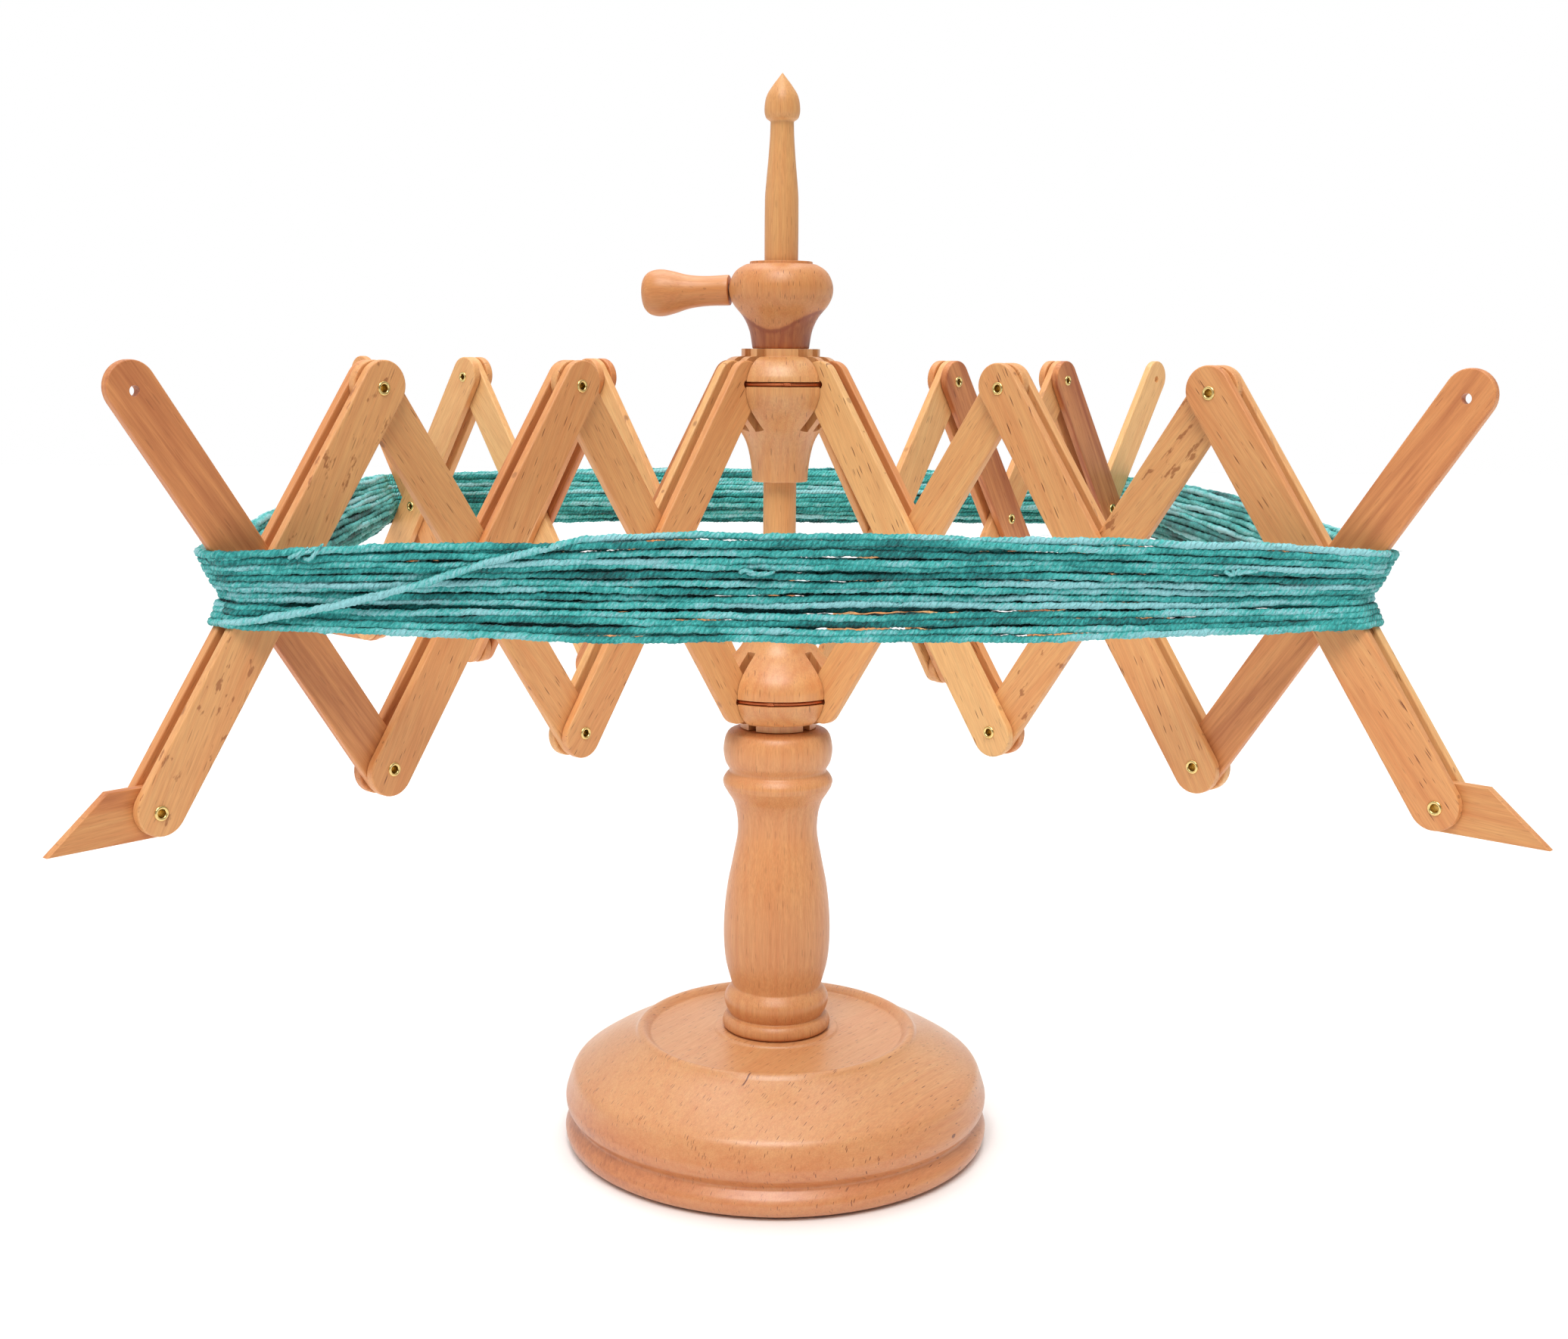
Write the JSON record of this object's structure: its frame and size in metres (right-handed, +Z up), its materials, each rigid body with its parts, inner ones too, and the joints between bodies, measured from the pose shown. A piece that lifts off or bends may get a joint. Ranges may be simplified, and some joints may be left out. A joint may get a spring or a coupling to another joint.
{
  "type": "yarn swift",
  "caption": "Tabletop umbrella yarn swift: lazy-tongs arms of wooden slats on a turned stand, spinning on a shaft, with a clamped collar and a skein held at its outer crossings.",
  "frame": {"origin": "centre of the base's underside, on the swift's axis", "axes": "+Z up along the shaft, -Y towards the picture's camera, clamp handle towards -X"},
  "size_m": [0.616, 0.616, 0.5726],
  "materials": {
    "stand_beech": "satin turned beech, salmon orange with short brown flecks",
    "shaft_beech": "satin turned beech, pale",
    "hub_beech": "satin turned beech",
    "collar_beech": "satin turned beech, a little redder",
    "slat_beech": "planed beech slats, satin, from pale tan to reddish orange",
    "stop_beech": "planed beech, satin",
    "copper_wire": "bare copper wire",
    "brass_eyelet": "bright brass eyelets",
    "steel": "plain steel",
    "yarn": "plied yarn in mixed turquoise and teal"
  },
  "bodies": {
    "stand": {"base": "stand_beech", "column": "stand_beech", "centre_shaft": "shaft_beech", "base_screw": "steel"},
    "lower_hub": {"lower_hub": "hub_beech", "lower_wire_ring": "copper_wire"},
    "arm1_single1": {"arm1_single1": "slat_beech"},
    "arm1_pair1": {"arm1_pair1_left": "slat_beech", "arm1_pair1_right": "slat_beech"},
    "arm1_single2": {"arm1_single2": "slat_beech"},
    "arm1_pair2": {"arm1_pair2_left": "slat_beech", "arm1_pair2_right": "slat_beech"},
    "arm1_single3": {"arm1_single3": "slat_beech"},
    "arm1_pair3": {"arm1_pair3_left": "slat_beech", "arm1_pair3_right": "slat_beech"},
    "arm1_stop": {"arm1_stop": "stop_beech"},
    "upper_hub": {"upper_hub": "hub_beech", "upper_wire_ring": "copper_wire"},
    "arm2_single1": {"arm2_single1": "slat_beech"},
    "arm2_pair1": {"arm2_pair1_left": "slat_beech", "arm2_pair1_right": "slat_beech"},
    "arm2_single2": {"arm2_single2": "slat_beech"},
    "arm2_pair2": {"arm2_pair2_left": "slat_beech", "arm2_pair2_right": "slat_beech"},
    "arm2_single3": {"arm2_single3": "slat_beech"},
    "arm2_pair3": {"arm2_pair3_left": "slat_beech", "arm2_pair3_right": "slat_beech"},
    "arm2_stop": {"arm2_stop": "stop_beech"},
    "arm3_single1": {"arm3_single1": "slat_beech"},
    "arm3_pair1": {"arm3_pair1_left": "slat_beech", "arm3_pair1_right": "slat_beech"},
    "arm3_single2": {"arm3_single2": "slat_beech"},
    "arm3_pair2": {"arm3_pair2_left": "slat_beech", "arm3_pair2_right": "slat_beech"},
    "arm3_single3": {"arm3_single3": "slat_beech"},
    "arm3_pair3": {"arm3_pair3_left": "slat_beech", "arm3_pair3_right": "slat_beech"},
    "arm3_stop": {"arm3_stop": "stop_beech"},
    "arm4_single1": {"arm4_single1": "slat_beech"},
    "arm4_pair1": {"arm4_pair1_left": "slat_beech", "arm4_pair1_right": "slat_beech"},
    "arm4_single2": {"arm4_single2": "slat_beech"},
    "arm4_pair2": {"arm4_pair2_left": "slat_beech", "arm4_pair2_right": "slat_beech"},
    "arm4_single3": {"arm4_single3": "slat_beech"},
    "arm4_pair3": {"arm4_pair3_left": "slat_beech", "arm4_pair3_right": "slat_beech"},
    "arm4_stop": {"arm4_stop": "stop_beech"},
    "collar": {"collar": "collar_beech"},
    "clamp_screw": {"clamp_handle": "collar_beech", "clamp_stud": "steel"},
    "yarn_side1": {"yarn_side1": "yarn"},
    "yarn_side2": {"yarn_side2": "yarn"},
    "yarn_side3": {"yarn_side3": "yarn"},
    "yarn_side4": {"yarn_side4": "yarn"}
  },
  "joints": [
    {"name": "swift_spin", "type": "hinge", "parent": "stand", "child": "lower_hub", "pos_m": [0, 0, 0.2494], "axis": [0, 0, 1], "continuous": true},
    {"name": "fold", "type": "hinge", "parent": "lower_hub", "child": "arm1_single1", "pos_m": [0.02239, 0.02452, 0.2494], "axis": [0.7385, -0.6743, 0], "range_deg": [0, 27]},
    {"name": "arm1_pair1_hinge", "type": "hinge", "parent": "arm1_single1", "child": "arm1_pair1", "pos_m": [0.06019, 0.06592, 0.33221], "axis": [0.7385, -0.6743, 0], "range_deg": [-54.5, 0]},
    {"name": "arm1_pair2_hinge", "type": "hinge", "parent": "arm1_single1", "child": "arm1_pair2", "pos_m": [0.09799, 0.10732, 0.41501], "axis": [0.7385, -0.6743, 0], "range_deg": [-54.5, 0]},
    {"name": "arm1_single2_hinge", "type": "hinge", "parent": "arm1_pair2", "child": "arm1_single2", "pos_m": [0.1358, 0.14872, 0.33221], "axis": [0.7385, -0.6743, 0], "range_deg": [0, 54.5]},
    {"name": "arm1_pair3_hinge", "type": "hinge", "parent": "arm1_single2", "child": "arm1_pair3", "pos_m": [0.1736, 0.19012, 0.41501], "axis": [0.7385, -0.6743, 0], "range_deg": [-54.5, 0]},
    {"name": "arm1_single3_hinge", "type": "hinge", "parent": "arm1_pair3", "child": "arm1_single3", "pos_m": [0.21141, 0.23152, 0.33221], "axis": [0.7385, -0.6743, 0], "range_deg": [0, 54.5]},
    {"name": "arm1_stop_swing", "type": "hinge", "parent": "arm1_pair3", "child": "arm1_stop", "pos_m": [0.24921, 0.27292, 0.2494], "axis": [0.7385, -0.6743, 0], "range_deg": [-60, 60]},
    {"name": "upper_hub_lift", "type": "hinge", "parent": "arm1_pair1", "child": "upper_hub", "pos_m": [0.02239, 0.02452, 0.41501], "axis": [0.7385, -0.6743, 0], "range_deg": [0, 27.5]},
    {"name": "arm2_single1_hinge", "type": "hinge", "parent": "lower_hub", "child": "arm2_single1", "pos_m": [-0.02452, 0.02239, 0.2494], "axis": [0.6743, 0.7385, 0], "range_deg": [0, 27.5]},
    {"name": "arm2_pair1_hinge", "type": "hinge", "parent": "arm2_single1", "child": "arm2_pair1", "pos_m": [-0.06592, 0.06019, 0.33221], "axis": [0.6743, 0.7385, 0], "range_deg": [-54.5, 0]},
    {"name": "arm2_pair2_hinge", "type": "hinge", "parent": "arm2_single1", "child": "arm2_pair2", "pos_m": [-0.10732, 0.09799, 0.41501], "axis": [0.6743, 0.7385, 0], "range_deg": [-54.5, 0]},
    {"name": "arm2_single2_hinge", "type": "hinge", "parent": "arm2_pair2", "child": "arm2_single2", "pos_m": [-0.14872, 0.1358, 0.33221], "axis": [0.6743, 0.7385, 0], "range_deg": [0, 54.5]},
    {"name": "arm2_pair3_hinge", "type": "hinge", "parent": "arm2_single2", "child": "arm2_pair3", "pos_m": [-0.19012, 0.1736, 0.41501], "axis": [0.6743, 0.7385, 0], "range_deg": [-54.5, 0]},
    {"name": "arm2_single3_hinge", "type": "hinge", "parent": "arm2_pair3", "child": "arm2_single3", "pos_m": [-0.23152, 0.21141, 0.33221], "axis": [0.6743, 0.7385, 0], "range_deg": [0, 54.5]},
    {"name": "arm2_stop_swing", "type": "hinge", "parent": "arm2_pair3", "child": "arm2_stop", "pos_m": [-0.27292, 0.24921, 0.2494], "axis": [0.6743, 0.7385, 0], "range_deg": [-60, 60]},
    {"name": "arm3_single1_hinge", "type": "hinge", "parent": "lower_hub", "child": "arm3_single1", "pos_m": [-0.02239, -0.02452, 0.2494], "axis": [-0.7385, 0.6743, 0], "range_deg": [0, 27.5]},
    {"name": "arm3_pair1_hinge", "type": "hinge", "parent": "arm3_single1", "child": "arm3_pair1", "pos_m": [-0.06019, -0.06592, 0.33221], "axis": [-0.7385, 0.6743, 0], "range_deg": [-54.5, 0]},
    {"name": "arm3_pair2_hinge", "type": "hinge", "parent": "arm3_single1", "child": "arm3_pair2", "pos_m": [-0.09799, -0.10732, 0.41501], "axis": [-0.7385, 0.6743, 0], "range_deg": [-54.5, 0]},
    {"name": "arm3_single2_hinge", "type": "hinge", "parent": "arm3_pair2", "child": "arm3_single2", "pos_m": [-0.1358, -0.14872, 0.33221], "axis": [-0.7385, 0.6743, 0], "range_deg": [0, 54.5]},
    {"name": "arm3_pair3_hinge", "type": "hinge", "parent": "arm3_single2", "child": "arm3_pair3", "pos_m": [-0.1736, -0.19012, 0.41501], "axis": [-0.7385, 0.6743, 0], "range_deg": [-54.5, 0]},
    {"name": "arm3_single3_hinge", "type": "hinge", "parent": "arm3_pair3", "child": "arm3_single3", "pos_m": [-0.21141, -0.23152, 0.33221], "axis": [-0.7385, 0.6743, 0], "range_deg": [0, 54.5]},
    {"name": "arm3_stop_swing", "type": "hinge", "parent": "arm3_pair3", "child": "arm3_stop", "pos_m": [-0.24921, -0.27292, 0.2494], "axis": [-0.7385, 0.6743, 0], "range_deg": [-60, 60]},
    {"name": "arm4_single1_hinge", "type": "hinge", "parent": "lower_hub", "child": "arm4_single1", "pos_m": [0.02452, -0.02239, 0.2494], "axis": [-0.6743, -0.7385, 0], "range_deg": [0, 27.5]},
    {"name": "arm4_pair1_hinge", "type": "hinge", "parent": "arm4_single1", "child": "arm4_pair1", "pos_m": [0.06592, -0.06019, 0.33221], "axis": [-0.6743, -0.7385, 0], "range_deg": [-54.5, 0]},
    {"name": "arm4_pair2_hinge", "type": "hinge", "parent": "arm4_single1", "child": "arm4_pair2", "pos_m": [0.10732, -0.09799, 0.41501], "axis": [-0.6743, -0.7385, 0], "range_deg": [-54.5, 0]},
    {"name": "arm4_single2_hinge", "type": "hinge", "parent": "arm4_pair2", "child": "arm4_single2", "pos_m": [0.14872, -0.1358, 0.33221], "axis": [-0.6743, -0.7385, 0], "range_deg": [0, 54.5]},
    {"name": "arm4_pair3_hinge", "type": "hinge", "parent": "arm4_single2", "child": "arm4_pair3", "pos_m": [0.19012, -0.1736, 0.41501], "axis": [-0.6743, -0.7385, 0], "range_deg": [-54.5, 0]},
    {"name": "arm4_single3_hinge", "type": "hinge", "parent": "arm4_pair3", "child": "arm4_single3", "pos_m": [0.23152, -0.21141, 0.33221], "axis": [-0.6743, -0.7385, 0], "range_deg": [0, 54.5]},
    {"name": "arm4_stop_swing", "type": "hinge", "parent": "arm4_pair3", "child": "arm4_stop", "pos_m": [0.27292, -0.24921, 0.2494], "axis": [-0.6743, -0.7385, 0], "range_deg": [-60, 60]},
    {"name": "collar_stays", "type": "hinge", "parent": "upper_hub", "child": "collar", "pos_m": [0, 0, 0.43331], "axis": [0, 0, 1], "continuous": true},
    {"name": "clamp_turn", "type": "hinge", "parent": "collar", "child": "clamp_screw", "pos_m": [0, 0, 0.46431], "axis": [-0.984, 0.1735, -0.0401], "range_deg": [0, 360]},
    {"name": "yarn_side1_slack", "type": "slide", "parent": "lower_hub", "child": "yarn_side1", "axis": [0.0451, -0.9936, 0.1036], "range_m": [0, 0.16054], "deforming": ["yarn_side1"]},
    {"name": "yarn_side2_slack", "type": "slide", "parent": "lower_hub", "child": "yarn_side2", "axis": [0.9936, 0.0451, 0.1036], "range_m": [0, 0.16054], "deforming": ["yarn_side2"]},
    {"name": "yarn_side3_slack", "type": "slide", "parent": "lower_hub", "child": "yarn_side3", "axis": [-0.0451, 0.9936, 0.1036], "range_m": [0, 0.16054], "deforming": ["yarn_side3"]},
    {"name": "yarn_side4_slack", "type": "slide", "parent": "lower_hub", "child": "yarn_side4", "axis": [-0.9936, -0.0451, 0.1036], "range_m": [0, 0.16054], "deforming": ["yarn_side4"]}
  ],
  "couplings": [
    {"joint": "arm1_pair1_hinge", "follows": "fold", "ratio": -2},
    {"joint": "arm1_pair2_hinge", "follows": "fold", "ratio": -2},
    {"joint": "arm1_single2_hinge", "follows": "fold", "ratio": 2},
    {"joint": "arm1_pair3_hinge", "follows": "fold", "ratio": -2},
    {"joint": "arm1_single3_hinge", "follows": "fold", "ratio": 2},
    {"joint": "upper_hub_lift", "follows": "fold", "ratio": 1},
    {"joint": "arm2_single1_hinge", "follows": "fold", "ratio": 1},
    {"joint": "arm2_pair1_hinge", "follows": "fold", "ratio": -2},
    {"joint": "arm2_pair2_hinge", "follows": "fold", "ratio": -2},
    {"joint": "arm2_single2_hinge", "follows": "fold", "ratio": 2},
    {"joint": "arm2_pair3_hinge", "follows": "fold", "ratio": -2},
    {"joint": "arm2_single3_hinge", "follows": "fold", "ratio": 2},
    {"joint": "arm3_single1_hinge", "follows": "fold", "ratio": 1},
    {"joint": "arm3_pair1_hinge", "follows": "fold", "ratio": -2},
    {"joint": "arm3_pair2_hinge", "follows": "fold", "ratio": -2},
    {"joint": "arm3_single2_hinge", "follows": "fold", "ratio": 2},
    {"joint": "arm3_pair3_hinge", "follows": "fold", "ratio": -2},
    {"joint": "arm3_single3_hinge", "follows": "fold", "ratio": 2},
    {"joint": "arm4_single1_hinge", "follows": "fold", "ratio": 1},
    {"joint": "arm4_pair1_hinge", "follows": "fold", "ratio": -2},
    {"joint": "arm4_pair2_hinge", "follows": "fold", "ratio": -2},
    {"joint": "arm4_single2_hinge", "follows": "fold", "ratio": 2},
    {"joint": "arm4_pair3_hinge", "follows": "fold", "ratio": -2},
    {"joint": "arm4_single3_hinge", "follows": "fold", "ratio": 2},
    {"joint": "collar_stays", "follows": "swift_spin", "ratio": -1},
    {"joint": "yarn_side1_slack", "follows": "fold", "m_per_rad": 0.33643},
    {"joint": "yarn_side2_slack", "follows": "fold", "m_per_rad": 0.33643},
    {"joint": "yarn_side3_slack", "follows": "fold", "m_per_rad": 0.33643},
    {"joint": "yarn_side4_slack", "follows": "fold", "m_per_rad": 0.33643}
  ]
}
